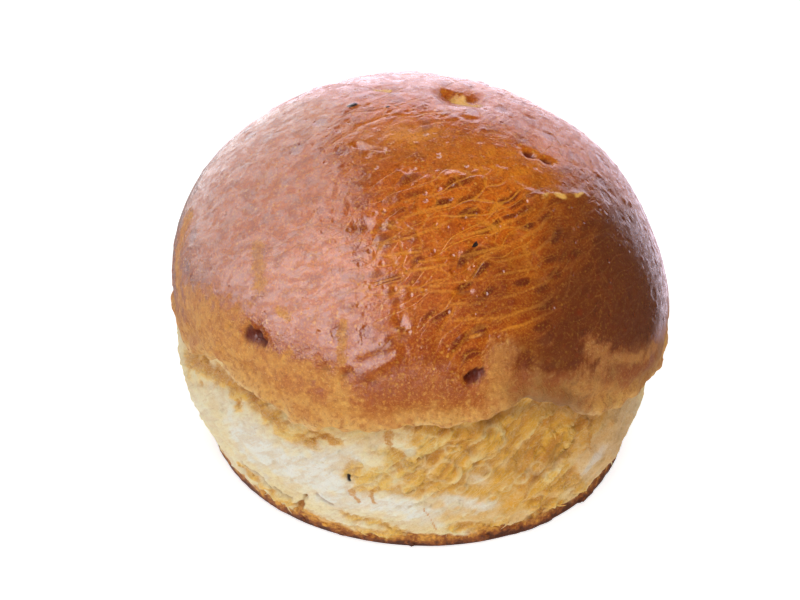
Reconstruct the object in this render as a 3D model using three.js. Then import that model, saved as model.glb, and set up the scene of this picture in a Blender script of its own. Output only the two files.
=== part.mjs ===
// A whole, uncut hamburger bun: a domed crown of browned crust over a pale side that tore open
// in the oven, on a flat baked base. It is bread in one piece, so it is one closed solid.
// Millimetres, +Z up, the base's middle at the origin. A bearing is in degrees anticlockwise
// from +X seen from above, so -90 is the front.
import * as THREE from "three";
import { mergeVertices } from "three/addons/utils/BufferGeometryUtils.js";

// Driving dimensions
const height = 76;
const crown = {
  width: 102,
  undercut: 1.8, // how far the crust curls in from its widest line to its edge
  widestAbove: 4.5, // height of the widest line over the crust edge
  leanX: -1.6, // the top stands this far off the middle
};
const crustEdge = {
  height: 31.5, // mean height of the line where the crust ends and the tear begins
  towardsX: -4, // it runs lower on the +X side
  towardsFront: 3.5, // and higher at the front
  overhang: 1.1,
  ledge: 0.6,
};
const base = {
  width: 86,
  round: 1.1, // rounding of its lower edge
  rim: 2.6, // height of the baked rim
  step: 0.8, // the side starts this far inside the rim
  oval: 1.5, // it is wider along X than along Y by twice this on each side
  shiftX: 0.2,
};
const side = {
  bulge: 1.6, // it swells most at half height
  tuck: 0.8, // and draws in under the crust edge
  tuckReach: 0.18, // over this share of its height
};

// Lobes of the crust edge: bearing, half width in degrees and how far the edge lifts there.
const crustLobes = [
  { bearing: -162, spread: 11, lift: -6.5 },
  { bearing: -116, spread: 7, lift: -2.4 },
  { bearing: -88, spread: 12, lift: 4.5 },
  { bearing: -66, spread: 13.5, lift: 9.6 },
  { bearing: -16, spread: 13, lift: -3 },
  { bearing: 28, spread: 13, lift: 3.5 },
  { bearing: 72, spread: 12, lift: -2.5 },
  { bearing: 112, spread: 10, lift: 4.5 },
  { bearing: 150, spread: 13, lift: -2 },
];
const lobeReach = 11; // a lobe's pull fades out this far above and below the edge

// Places on the side that stand out or lie deep: bearing, half width, height as a share of the side's,
// reach in height, and how far out the surface goes.
const sideLumps = [
  { bearing: -172, spread: 40, level: 0.55, reach: 0.42, out: 3 },
  { bearing: -100, spread: 16, level: 0.45, reach: 0.3, out: 1 },
  { bearing: -62, spread: 13, level: 0.82, reach: 0.2, out: -2.2 },
  { bearing: 30, spread: 14, level: 0.8, reach: 0.2, out: -1.9 },
  { bearing: 74, spread: 18, level: 0.4, reach: 0.3, out: 1.1 },
  { bearing: 110, spread: 12, level: 0.82, reach: 0.22, out: -2 },
];

// Slanted folds of stretched crumb, in three stretches of the side.
const folds = {
  height: 0.8,
  count: 22, // to the full turn
  slant: 37, // degrees of bearing from the foot of a fold to its top
  stretches: [
    { bearing: -38, spread: 22 },
    { bearing: 45, spread: 28 },
    { bearing: 122, spread: 24 },
  ],
};

// Broad, shallow swells and hollows all over the crown, from waves that cross it in all directions.
const swells = { height: 0.4, waves: 7, slowest: 4.4, quicker: 1.1, offset: 2.4 };

// Single dents and bumps of the crown: bearing, angle up from its middle, radius and lift.
const crownLumps = [
  { bearing: 48, rise: 77, radius: 4.2, lift: -1.4 },
  { bearing: -30, rise: 48, radius: 9, lift: 0.8 },
  { bearing: 0, rise: 20, radius: 13, lift: -0.7 },
  { bearing: 48, rise: 36, radius: 11, lift: -1.1 },
  { bearing: 98, rise: 46, radius: 9, lift: 0.7 },
  { bearing: 138, rise: 33, radius: 13, lift: -1.2 },
];
const lumpsFrom = 1.3; // swells and lumps reach full height at this multiple of the crust edge's height

// Mesh fineness
const segments = 120;
const rows = { floor: 2, round: 2, rim: 1, step: 1, side: 15, lip: 5, dome: 20 };
const weld = 1e-4; // points closer than this are one point

const crownRadius = crown.width / 2;
const baseRadius = base.width / 2;
const widest = crustEdge.height + crown.widestAbove;
const lipRadius = crownRadius - crown.undercut;
const rimTop = base.rim + base.step;
const creaseHeight = crustEdge.height - crustEdge.ledge;
const heart = new THREE.Vector3(0, 0, widest);
const goldenAngle = Math.PI * (3 - Math.sqrt(5));

const { degToRad, euclideanModulo, smoothstep, clamp } = THREE.MathUtils;
const fade = (x) => Math.exp(-x * x);

// How near a bearing is to a place on the rim: 1 there, falling to nothing a few spreads away.
function nearness(bearing, place) {
  const turn = euclideanModulo(bearing - degToRad(place.bearing) + Math.PI, 2 * Math.PI) - Math.PI;
  return fade(turn / degToRad(place.spread));
}

const total = (places, size) => places.reduce((sum, place) => sum + size(place), 0);

// The even bun's half outline, from the middle of the base up to the top of the crown.
function outline() {
  const at = (radius, z) => new THREE.Vector2(radius, z);
  const line = (from, to, count) => new THREE.LineCurve(from, to).getPoints(count);
  const floorEnd = at(baseRadius - base.round, 0);
  const rimFoot = at(baseRadius, base.round);
  const rimHead = at(baseRadius, base.rim);
  const sideFoot = at(baseRadius - base.step, rimTop);
  const crease = at(lipRadius - crustEdge.overhang, creaseHeight);
  const quarter = Math.PI / 2;
  const points = [
    line(at(0, 0), floorEnd, rows.floor),
    new THREE.QuadraticBezierCurve(floorEnd, at(baseRadius, 0), rimFoot).getPoints(rows.round),
    line(rimFoot, rimHead, rows.rim),
    line(rimHead, sideFoot, rows.step),
    line(sideFoot, crease, rows.side),
    new THREE.EllipseCurve(lipRadius, widest, crown.undercut, crown.widestAbove, -quarter, 0)
      .getPoints(rows.lip),
    new THREE.EllipseCurve(0, widest, crownRadius, height - widest, 0, quarter).getPoints(rows.dome),
  ].flat();
  points[points.length - 1].x = 0;
  return points.filter((p, i) => i === 0 || p.distanceTo(points[i - 1]) > weld);
}

// Crossed waves over the crown, each along its own direction.
function swell(direction) {
  const wave = new THREE.Vector3();
  let sum = 0;
  for (let i = 0; i < swells.waves; i++) {
    const rise = (2 * i + 1) / swells.waves - 1;
    wave.setFromCylindricalCoords(Math.sqrt(1 - rise * rise), i * goldenAngle, rise);
    const speed = swells.slowest + swells.quicker * i;
    sum += Math.sin(speed * direction.dot(wave) + swells.offset * i);
  }
  return (swells.height * sum) / Math.sqrt(swells.waves);
}

// How far the crown's dents and bumps lift a point of it.
function lump(point) {
  return total(crownLumps, ({ bearing, rise, radius, lift }) => {
    const flat = crownRadius * Math.cos(degToRad(rise));
    const middle = new THREE.Vector3(
      flat * Math.cos(degToRad(bearing)),
      flat * Math.sin(degToRad(bearing)),
      widest + (height - widest) * Math.sin(degToRad(rise)),
    );
    return lift * fade(point.distanceTo(middle) / radius);
  });
}

// How far out the torn side goes, by its bearing and its height as a share of the crust edge's.
function tear(level, bearing) {
  const middle = Math.sin(Math.PI * level);
  const tuck = side.tuck * fade((1 - level) / side.tuckReach);
  const lumps = total(sideLumps, (l) => l.out * nearness(bearing, l) * fade((level - l.level) / l.reach));
  const folded = total(folds.stretches, (stretch) => nearness(bearing, stretch));
  const fold = Math.sin(folds.count * (bearing - degToRad(folds.slant) * level));
  return side.bulge * middle - tuck + lumps + folds.height * folded * fold * middle;
}

// The crust edge runs higher at the front and the left, and dips and lifts in lobes. The side below
// and the crown above stretch to follow it, and the top and the base stay where they are.
function raise(z, bearing) {
  const edge = crustEdge.height;
  const lean = crustEdge.towardsX * Math.cos(bearing) - crustEdge.towardsFront * Math.sin(bearing);
  const share = z < edge ? (z - rimTop) / (edge - rimTop) : (height - z) / (height - edge);
  const lobe = total(crustLobes, (l) => l.lift * nearness(bearing, l)) * fade((z - edge) / lobeReach);
  return (lean + lobe) * clamp(share, 0, 1);
}

// Moves a point of the even bun to its place on the real one.
function shape(point) {
  const bearing = Math.atan2(point.y, point.x);
  const radius = Math.hypot(point.x, point.y);
  const level = point.z / crustEdge.height;
  const outward = new THREE.Vector3(point.x, point.y, 0).normalize();
  const lift = raise(point.z, bearing);
  if (level >= 1) {
    const direction = point.clone().sub(heart).normalize();
    const relief = smoothstep(level, 1, lumpsFrom) * (swell(direction) + lump(point));
    point.addScaledVector(direction, relief);
    point.x += crown.leanX * clamp((point.z - widest) / (height - widest), 0, 1);
  } else if (point.z > base.rim) {
    point.addScaledVector(outward, tear(level, bearing));
  }
  const oval = base.oval * Math.cos(2 * bearing) + base.shiftX * Math.cos(bearing);
  point.addScaledVector(outward, oval * clamp(1 - level, 0, 1) * Math.min(1, radius / baseRadius));
  point.z += lift;
}

function bread() {
  const even = new THREE.LatheGeometry(outline(), segments).rotateX(Math.PI / 2);
  const spots = even.getAttribute("position");
  const point = new THREE.Vector3();
  for (let i = 0; i < spots.count; i++) {
    shape(point.fromBufferAttribute(spots, i));
    spots.setXYZ(i, point.x, point.y, point.z);
  }
  even.deleteAttribute("normal");
  even.deleteAttribute("uv");
  const whole = mergeVertices(even, weld);
  whole.computeBoundingBox();
  const middle = whole.boundingBox.getCenter(new THREE.Vector3());
  whole.translate(-middle.x, -middle.y, -whole.boundingBox.min.z);
  whole.computeVertexNormals();
  return whole;
}

const crust = new THREE.MeshStandardMaterial({ color: 0xb4641f, roughness: 0.4, metalness: 0 });
const bun = new THREE.Mesh(bread(), crust);
bun.name = "bun";

const part = new THREE.Group();
part.add(bun);

export default part;
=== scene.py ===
# A whole hamburger bun, dressed over its CAD solid: a glossy browned crust over pale torn crumb,
# on a dark baked foot.
import math
import bmesh
import bpy
import numpy as np
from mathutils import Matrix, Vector
from mathutils.bvhtree import BVHTree


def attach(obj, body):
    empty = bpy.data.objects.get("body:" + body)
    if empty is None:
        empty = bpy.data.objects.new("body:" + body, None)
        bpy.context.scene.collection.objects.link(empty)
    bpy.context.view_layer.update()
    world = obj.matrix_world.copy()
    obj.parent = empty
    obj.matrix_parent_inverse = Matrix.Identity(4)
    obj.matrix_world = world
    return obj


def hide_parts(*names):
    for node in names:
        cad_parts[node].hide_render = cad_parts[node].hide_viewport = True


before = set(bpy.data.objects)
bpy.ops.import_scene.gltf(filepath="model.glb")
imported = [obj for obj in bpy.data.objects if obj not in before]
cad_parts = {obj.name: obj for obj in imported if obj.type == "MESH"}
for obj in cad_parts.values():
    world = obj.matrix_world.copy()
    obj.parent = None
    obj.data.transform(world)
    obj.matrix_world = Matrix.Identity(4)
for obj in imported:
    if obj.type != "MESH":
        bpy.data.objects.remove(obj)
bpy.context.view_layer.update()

mm = 0.001


class Wire:  # a socket in a node tree; sums on it add Math nodes
    def __init__(self, tree, socket=None):
        self.tree = tree
        self.socket = socket

    def add(self, kind, settings=None, inputs=None, out=0):  # any node: settings, then values or links
        node = self.tree.nodes.new(kind)
        for name, value in (settings or {}).items():
            if name == "stops":
                setStops(node.color_ramp, value)
            else:
                setattr(node, name, value)
        for key, value in (inputs or {}).items():
            if isinstance(value, Wire):
                self.tree.links.new(value.socket, node.inputs[key])
            else:
                node.inputs[key].default_value = value
        return Wire(self.tree, node.outputs[out])

    def math(self, operation, *values):
        return self.add("ShaderNodeMath", {"operation": operation}, dict(enumerate(values)))

    def __add__(self, other):
        return self.math("ADD", self, other)

    def __radd__(self, other):
        return self.math("ADD", other, self)

    def __sub__(self, other):
        return self.math("SUBTRACT", self, other)

    def __rsub__(self, other):
        return self.math("SUBTRACT", other, self)

    def __mul__(self, other):
        return self.math("MULTIPLY", self, other)

    def __rmul__(self, other):
        return self.math("MULTIPLY", other, self)

    def __truediv__(self, other):
        return self.math("DIVIDE", self, other)

    def most(self, other):
        return self.math("MAXIMUM", self, other)

    def step(self, low, high):  # 0 below low, 1 above high, smooth between; low may be the greater
        span = (min(low, high), max(low, high))
        ends = (1.0, 0.0) if low > high else (0.0, 1.0)
        inputs = {0: self, 1: span[0], 2: span[1], 3: ends[0], 4: ends[1]}
        return self.add("ShaderNodeMapRange", {"interpolation_type": "SMOOTHSTEP"}, inputs)

    def mix(self, first, second):  # colours, by this wire as the factor
        inputs = {0: self, 6: first, 7: second}
        return self.add("ShaderNodeMix", {"data_type": "RGBA"}, inputs, out=2)

    def vector(self, operation, inputs, out=0):
        return self.add("ShaderNodeVectorMath", {"operation": operation}, inputs, out)

    def noise(self, vector, scale, detail=2.0, roughness=0.5):
        inputs = {"Vector": vector, "Scale": scale, "Detail": detail, "Roughness": roughness}
        return self.add("ShaderNodeTexNoise", {}, inputs)

    def cells(self, vector, scale, feature="F1", out=0):
        inputs = {"Vector": vector, "Scale": scale}
        return self.add("ShaderNodeTexVoronoi", {"feature": feature}, inputs, out)

    def axis(self, index):  # one number of a vector
        return self.add("ShaderNodeSeparateXYZ", {}, {0: self}, index)

    def cellTone(self, vector, scale):  # a random number for each cell
        return self.cells(vector, scale, out=1).axis(0)

    def spots(self, vector, scale, edge, chosen, fray=0.0):  # round spots in some of the cells
        near = (self.cells(vector, scale) + fray).step(*edge)
        return near * self.cellTone(vector, scale).step(*chosen)

    def reads(self, name, out="Fac"):  # a material reads a stored attribute of the mesh
        return self.add("ShaderNodeAttribute", {"attribute_name": name}, {}, out)

    def named(self, name, kind="FLOAT"):  # a Geometry Nodes tree reads one
        return self.add("GeometryNodeInputNamedAttribute", {"data_type": kind}, {"Name": name})


def setStops(band, stops):
    while len(band.elements) < len(stops):
        band.elements.new(1.0)
    for element, (position, color) in zip(band.elements, stops):
        element.position = position
        element.color = color


def paint(red, green, blue):  # a colour as seen on screen, 0 to 255, made linear
    def linear(c):
        c = c / 255
        return c / 12.92 if c <= 0.04045 else ((c + 0.055) / 1.055) ** 2.4

    return (linear(red), linear(green), linear(blue), 1.0)


def smooth(x, low, high):
    t = np.clip((x - low) / (high - low), 0, 1)
    return t * t * (3 - 2 * t)


# The camera stands where the photo was taken from. Pixels are in the photo's 800 x 600 frame.
viewpoint = {
    "elevation": 37.0,
    "roll": 1.95,
    "distance": 400.0,
    "aim": (-4.54, 0.0, 30.72),
    "focalPixels": 1930.0,
    "framePixels": (800, 600),
    "sensor": 36.0,
    "nearest": 10.0,  # what is closer isn't shown
}


def viewAxes():
    e = math.radians(viewpoint["elevation"])
    r = math.radians(viewpoint["roll"])
    forward = Vector((0, math.cos(e), -math.sin(e)))
    level = Vector((1, 0, 0))
    upright = Vector((0, math.sin(e), math.cos(e)))
    right = level * math.cos(r) + upright * math.sin(r)
    up = upright * math.cos(r) - level * math.sin(r)
    eye = (Vector(viewpoint["aim"]) - forward * viewpoint["distance"]) * mm
    return eye, right, up, forward


def makeCamera():
    eye, right, up, forward = viewAxes()
    lens = bpy.data.cameras.new("camera")
    lens.sensor_width = viewpoint["sensor"]
    lens.lens = viewpoint["focalPixels"] * viewpoint["sensor"] / viewpoint["framePixels"][0]
    lens.clip_start = viewpoint["nearest"] * mm
    camera = bpy.data.objects.new("camera", lens)
    columns = (right, up, -forward)
    for i in range(3):
        for j in range(3):
            camera.matrix_world[i][j] = columns[j][i]
        camera.matrix_world[i][3] = eye[i]
    bpy.context.scene.collection.objects.link(camera)
    bpy.context.scene.camera = camera


makeCamera()
print("camera placed")

# The crust edge of the solid, as the CAD part makes it, in mm and degrees: bearing, half width, lift.
crustEdge = {
    "height": 31.5,
    "towardsX": -4.0,
    "towardsFront": 3.5,
    "ledge": 0.6,
    "radius": 49.2,
    "lobes": [
        (-162, 11, -6.5),
        (-116, 7, -2.4),
        (-88, 12, 4.5),
        (-66, 13.5, 9.6),
        (-16, 13, -3.0),
        (28, 13, 3.5),
        (72, 12, -2.5),
        (112, 10, 4.5),
        (150, 13, -2.0),
    ],
}


def edgeHeight(bearing):
    height = crustEdge["height"] + crustEdge["towardsX"] * np.cos(bearing)
    height = height - crustEdge["towardsFront"] * np.sin(bearing)
    for place, spread, lift in crustEdge["lobes"]:
        turn = (bearing - math.radians(place) + math.pi) % (2 * math.pi) - math.pi
        height = height + lift * np.exp(-((turn / math.radians(spread)) ** 2))
    return height


def bakeModifiers(obj):
    ready = obj.evaluated_get(bpy.context.evaluated_depsgraph_get())
    plain = bpy.data.meshes.new_from_object(ready)
    plain.name = obj.data.name
    obj.modifiers.clear()
    obj.data = plain


# The pieces are wrapped on a rounded copy of the CAD node: triangles merged, paired and subdivided.
rounding = {"weld": 1e-6, "levels": 2}


def smoothSolid():
    shape = bmesh.new()
    shape.from_mesh(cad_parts["bun"].data)
    bmesh.ops.remove_doubles(shape, verts=shape.verts, dist=rounding["weld"])
    bmesh.ops.join_triangles(
        shape, faces=shape.faces, angle_face_threshold=math.pi, angle_shape_threshold=math.pi
    )
    mesh = bpy.data.meshes.new("solid")
    shape.to_mesh(mesh)
    shape.free()
    solid = bpy.data.objects.new("solid", mesh)
    bpy.context.scene.collection.objects.link(solid)
    softer = solid.modifiers.new("rounding", "SUBSURF")
    softer.levels = rounding["levels"]
    softer.render_levels = rounding["levels"]
    bakeModifiers(solid)
    corners = [v.co.copy() for v in solid.data.vertices]
    tree = BVHTree.FromPolygons(corners, [tuple(f.vertices) for f in solid.data.polygons])
    bpy.data.objects.remove(solid)
    return tree


solidTree = smoothSolid()
print("solid rounded")


def reach(origin, ways):  # how far the solid's surface is from a point inside it, in mm
    start = Vector(origin) * mm
    far = np.zeros(len(ways))
    for i, way in enumerate(ways):
        hit = solidTree.ray_cast(start, Vector(way))
        far[i] = hit[3] / mm
    return far


def seenPoints(pixels):  # where the solid shows at pixels of the photo
    eye, right, up, forward = viewAxes()
    width, height = viewpoint["framePixels"]
    found = []
    for x, y in pixels:
        across = (x - width / 2) / viewpoint["focalPixels"]
        rise = (height / 2 - y) / viewpoint["focalPixels"]
        hit = solidTree.ray_cast(eye, (forward + right * across + up * rise).normalized())[0]
        if hit is not None:
            found.append(np.array(hit) / mm)
    return found


def nearLine(points, line):
    best = np.full(len(points), np.inf)
    for a, b in zip(line, line[1:]):
        run = b - a
        t = np.clip((points - a) @ run / max(run @ run, 1e-9), 0, 1)  # a dot has no run
        best = np.minimum(best, np.linalg.norm(points - a - t[:, None] * run, axis=1))
    return best


def markShares(points, marks, wobble):
    # How near raised marks are, 1 along a line and fading past its half width, and their height together.
    near = np.zeros(len(points))
    lift = np.zeros(len(points))
    for halfWidth, height, *pixels in marks:
        line = seenPoints(pixels)
        if len(line) < 2:
            continue
        share = np.exp(-np.maximum(nearLine(points, line) / halfWidth + wobble, 0) ** 2)
        near = np.maximum(near, share)
        lift = lift + height * share
    return near, lift


def nearMarks(points, marks, wobble):  # the same for flat marks, which have no height
    return markShares(points, [(halfWidth, 0.0, *pixels) for halfWidth, *pixels in marks], wobble)[0]


fieldWaves = {"count": 9, "shortest": 0.7, "longest": 1.5}  # lengths as shares of the field's own
placeEdges = [(1.2, 7.0, 26)]  # how the outlines of places wander: height and length in mm, seed


def waves(points, length, seed):  # a soft random field, about -1 to 1, of crossed waves
    draw = np.random.default_rng(seed)
    total = np.zeros(len(points))
    for _ in range(fieldWaves["count"]):
        way = draw.normal(size=3)
        way /= np.linalg.norm(way)
        speed = 2 * math.pi / (length * draw.uniform(fieldWaves["shortest"], fieldWaves["longest"]))
        total += np.sin(points @ way * speed + draw.uniform(0, 2 * math.pi))
    return total / math.sqrt(fieldWaves["count"])


def ripples(points, fields):  # fields added up: height, length in mm and seed of each
    return sum(height * waves(points, length, seed) for height, length, seed in fields)


def placeShares(points, places):  # nearness to round places: middle, radius and softness in mm, strength
    near = np.zeros(len(points))
    wander = ripples(points, placeEdges)
    for middle, radius, soft, strength in places:
        far = np.linalg.norm(points - np.array(middle), axis=1) + wander
        near = np.maximum(near, strength * (1 - smooth(far, radius, radius + soft)))
    return near


def turned(points, angle):  # about the upright axis
    c, s = np.cos(angle), np.sin(angle)
    x, y, z = points.T
    return np.stack([x * c - y * s, x * s + y * c, z], axis=1)


def makeMesh(name, points, faces):
    mesh = bpy.data.meshes.new(name)
    mesh.from_pydata((points * mm).tolist(), [], faces)
    mesh.update()
    piece = bpy.data.objects.new(name, mesh)
    bpy.context.scene.collection.objects.link(piece)
    return piece


def normalsOf(mesh):
    flat = np.zeros(len(mesh.vertices) * 3, np.float32)
    mesh.vertices.foreach_get("normal", flat)
    return flat.reshape(-1, 3).astype(float)


def pushOut(mesh, points, lift):
    moved = (points + normalsOf(mesh) * lift[:, None]) * mm
    mesh.vertices.foreach_set("co", moved.astype(np.float32).ravel())
    mesh.update()


def store(mesh, fields):
    for name, values in fields.items():
        vector = values.ndim == 2
        layer = mesh.attributes.new(name, "FLOAT_VECTOR" if vector else "FLOAT", "POINT")
        layer.data.foreach_set("vector" if vector else "value", values.astype(np.float32).ravel())


def startTree(name, sizes):  # a Geometry Nodes tree with one named input for each size
    tree = bpy.data.node_groups.new(name, "GeometryNodeTree")
    face = tree.interface
    face.new_socket("Geometry", in_out="INPUT", socket_type="NodeSocketGeometry")
    for size in sizes:
        kind = "NodeSocketInt" if size.endswith("Seed") else "NodeSocketFloat"
        face.new_socket(size, in_out="INPUT", socket_type=kind)
    face.new_socket("Geometry", in_out="OUTPUT", socket_type="NodeSocketGeometry")
    given = tree.nodes.new("NodeGroupInput")
    return Wire(tree), {s.name: Wire(tree, s) for s in given.outputs if s.name}


def endTree(made, material):
    whole = made.add("GeometryNodeRealizeInstances", {}, {"Geometry": made})
    done = whole.add("GeometryNodeSetMaterial", {}, {"Geometry": whole, "Material": material})
    end = done.tree.nodes.new("NodeGroupOutput")
    done.tree.links.new(done.socket, end.inputs[0])


def runTree(piece, tree, sizes):
    change = piece.modifiers.new(tree.name, "NODES")
    change.node_group = tree
    for socket in tree.interface.items_tree:
        if socket.in_out == "INPUT" and socket.name in sizes:
            change[socket.identifier] = sizes[socket.name]
    bakeModifiers(piece)
    faces = piece.data.polygons
    faces.foreach_set("use_smooth", np.ones(len(faces), bool))
    print(piece.name + ":", len(faces), "faces")


def placeInMm(start):  # position in a Geometry Nodes tree
    place = start.add("GeometryNodeInputPosition")
    return start.vector("SCALE", {0: place, "Scale": 1 / mm})


def liftAlong(geometry, lift):  # moves a surface along its normals, by mm
    normal = geometry.add("GeometryNodeInputNormal")
    offset = geometry.vector("SCALE", {0: normal, "Scale": lift * mm})
    return geometry.add("GeometryNodeSetPosition", {}, {"Geometry": geometry, "Offset": offset})


def chance(start, low, high, seed, owner=None):  # a random number or vector for each point, or each owner
    vector = isinstance(low, tuple)
    kind, sockets, out = ("FLOAT_VECTOR", (0, 1), 0) if vector else ("FLOAT", (2, 3), 1)
    inputs = {sockets[0]: low, sockets[1]: high, "Seed": seed}
    if owner is not None:
        inputs["ID"] = owner
    return start.add("FunctionNodeRandomValue", {"data_type": kind}, inputs, out)


def keepField(geometry, name, value):  # stores a number on each point, for a material to read
    settings = {"data_type": "FLOAT", "domain": "POINT"}
    inputs = {"Geometry": geometry, "Name": name, "Value": value}
    return geometry.add("GeometryNodeStoreNamedAttribute", settings, inputs)


def objectInMm(start):  # position in a material
    place = start.add("ShaderNodeTexCoord", {}, {}, "Object")
    return start.vector("SCALE", {0: place, "Scale": 1 / mm})


def newMaterial(name):
    material = bpy.data.materials.new(name)
    material.use_nodes = True
    material.node_tree.nodes.clear()
    return material, Wire(material.node_tree)


def mottle(start, place, noises):  # the noises of a material, coarse to fine
    return [start.noise(place, *noise) for noise in noises.values()]


def ragged(noises, heights):  # noises added up, about nought
    return sum((noise - 0.5) * height for noise, height in zip(noises, heights))


def ramp(share, stops):
    stops = [(position, paint(*tone)) for position, tone in stops]
    return share.add("ShaderNodeValToRGB", {"stops": stops}, {"Fac": share})


def layered(color, shares, layers):  # lays colours over each other, each by its share of the surface
    for name, (strength, tone) in layers.items():
        color = (shares[name] * strength).mix(color, paint(*tone))
    return color


def bumped(height, strength):
    return height.add("ShaderNodeBump", {}, {"Strength": strength, "Distance": mm, "Height": height})


def surface(color, bump, rough, inside, ior=1.5):
    share, radii, scale = inside
    return color.add("ShaderNodeBsdfPrincipled", {}, {
        "Base Color": color, "Roughness": rough, "Normal": bump, "IOR": ior,
        "Subsurface Weight": share, "Subsurface Radius": radii, "Subsurface Scale": scale,
    })


def endMaterial(shader):
    end = shader.tree.nodes.new("ShaderNodeOutputMaterial")
    shader.tree.links.new(shader.socket, end.inputs["Surface"])


# The crust: a square sheet of quads wrapped over the dome, with a rounded lip and an inner skin.
crust = {
    "squares": 290,  # along each side of the sheet
    "heart": (0.0, 0.0, 34.0),
    "edgeAbove": 0.4,  # the sheet ends this far over the solid's crust edge, where the lip begins
    "lip": [(0.3, -0.4), (0.9, -0.6), (1.7, -0.2), (2.5, 1.4)],  # in and up from the sheet's edge
    "thick": 2.6,
    "innerRows": [0.9, 0.75, 0.55, 0.3],
    "lipShown": 2,  # rows of the lip that can be seen
    "evening": 6,  # times that the sheet is evened out
    "ragged": [(0.45, 7.0, 31), (0.27, 3.2, 32)],  # waves of the edge: height and length in mm, seed
    "raggedReach": 3.0,  # they fade out this far above it
    "crest": [(1.3, 1.1, 0.8), (4.4, 1.7, -0.8)],  # ridge and groove along it: mm above, half width, height
    "crestMean": 0.6,  # share of that height, and its waves
    "crestSwell": [(0.5, 16.0, 33)],
    "crestWander": [(0.8, 11.0, 34)],
    "markWobble": [(0.2, 2.6, 21)],  # waves in the outline of soft marks
    "markFray": [(0.3, 2.4, 24), (0.2, 1.2, 25)],  # and of frayed ones
    "veinWobble": 0.4,  # share of the wobble that a vein has
    "veinAxis": (140.0, 35.0),  # bearing and tilt of the axis that the stretch lines run around
    "veinLong": 5.0,
    "veinShort": 2.0,
    "longLines": (0.24, 0.24, 0.55),  # scale of the wider net that the longest of them form
    "veinBends": [(1.0, 24.0, (3, 4, 5)), (0.45, 7.0, (13, 14, 15))],  # height, length, seed for each axis
    "browned": [  # places darker brown, partly deeper baking and partly painted shade on the sides turned from the key lamp: middle, radius and softness in mm, strength
        ((42.0, -18.0, 52.0), 12.0, 17.0, 1.0),
        ((33.0, -31.0, 51.0), 8.0, 16.0, 0.95),
        ((36.0, -22.0, 58.0), 9.0, 18.0, 0.85),
        ((24.0, -39.0, 44.0), 7.0, 11.0, 0.9),
        ((17.0, -45.5, 33.5), 6.0, 7.0, 0.95),
        ((15.5, -36.0, 61.5), 2.0, 10.0, 0.42),
        ((45.0, 8.0, 46.0), 5.0, 24.0, 0.6),
        ((-44.0, -6.0, 54.0), 10.0, 30.0, 0.18),
        ((-14.0, 44.0, 52.0), 9.0, 12.0, 0.5),
    ],
    "lively": [  # places where the stretch lines and blotches are strong
        ((14.0, -28.0, 62.0), 15.0, 20.0, 1.0),
        ((-4.5, -2.0, 75.0), 4.0, 10.0, 0.7),
        ((12.0, 34.0, 60.0), 10.0, 24.0, 0.8),
    ],
}

# Raised marks of the crust: half width and height in mm, then the pixels that the mark runs through.
pits = [
    (1.3, -1.8, (248, 336), (256, 338)),
    (0.8, -1.0, (256, 338), (264, 341)),
    (1.05, -1.5, (472, 377), (478, 375)),
    (0.55, -0.9, (467, 380), (484, 371)),
    (0.9, -0.6, (520, 367), (536, 365)),
    (0.9, -0.8, (401, 320), (402, 321)),
    (0.9, -0.6, (458, 293), (470, 291)),
    (0.8, -0.4, (441, 258), (455, 254)),
    (0.7, -0.5, (556, 239), (559, 229)),
    (0.6, -0.5, (570, 237), (571, 229)),
    (0.8, -0.5, (546, 239), (548, 237)),
    (0.7, -0.4, (456, 271), (466, 268)),
    (1.0, -0.4, (518, 260), (532, 256)),
    (0.9, -0.4, (507, 238), (518, 235)),
    (0.7, -0.4, (532, 281), (540, 278)),
    (0.6, -0.6, (377, 229), (382, 227)),
    (0.7, -0.4, (355, 226), (367, 224)),
    (0.8, -0.8, (345, 374), (346, 374)),
    (0.8, -0.6, (319, 368), (326, 370)),
    (0.6, -0.4, (311, 319), (312, 319)),
    (0.7, -0.5, (371, 383), (375, 383)),
    (0.5, -0.6, (229, 326), (232, 327)),
    (0.7, -0.4, (464, 116), (472, 119)),
    (0.6, -0.3, (526, 115), (532, 118)),
    (0.75, -1.3, (528, 152), (533, 154)),
    (0.7, -1.3, (547, 160), (550, 161)),
    (0.6, -0.4, (487, 166), (489, 167)),
    (1.1, -0.5, (448, 93), (456, 95)),
    (0.7, -0.4, (500, 164), (505, 165)),
    (0.6, -0.4, (400, 168), (408, 170)),
    (0.5, -0.5, (356, 144), (366, 147)),
    (0.8, -0.4, (474, 246), (478, 244)),
]
creases = [
    (0.45, -0.5, (356, 144), (368, 147), (383, 149)),
    (1.5, 0.3, (425, 180), (468, 177), (500, 185), (534, 197)),
    (1.5, 0.3, (534, 197), (561, 194), (580, 196)),
    (2.6, -1.0, (450, 96), (470, 101)),
    (1.6, -0.3, (376, 89), (388, 90)),
    (2.0, 0.8, (484, 412), (500, 400)),
    (0.7, 0.3, (361, 354), (377, 348), (395, 346)),
    (0.9, 0.35, (367, 371), (381, 364), (396, 356)),
    (0.5, 0.25, (384, 338), (398, 333)),
]
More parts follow.
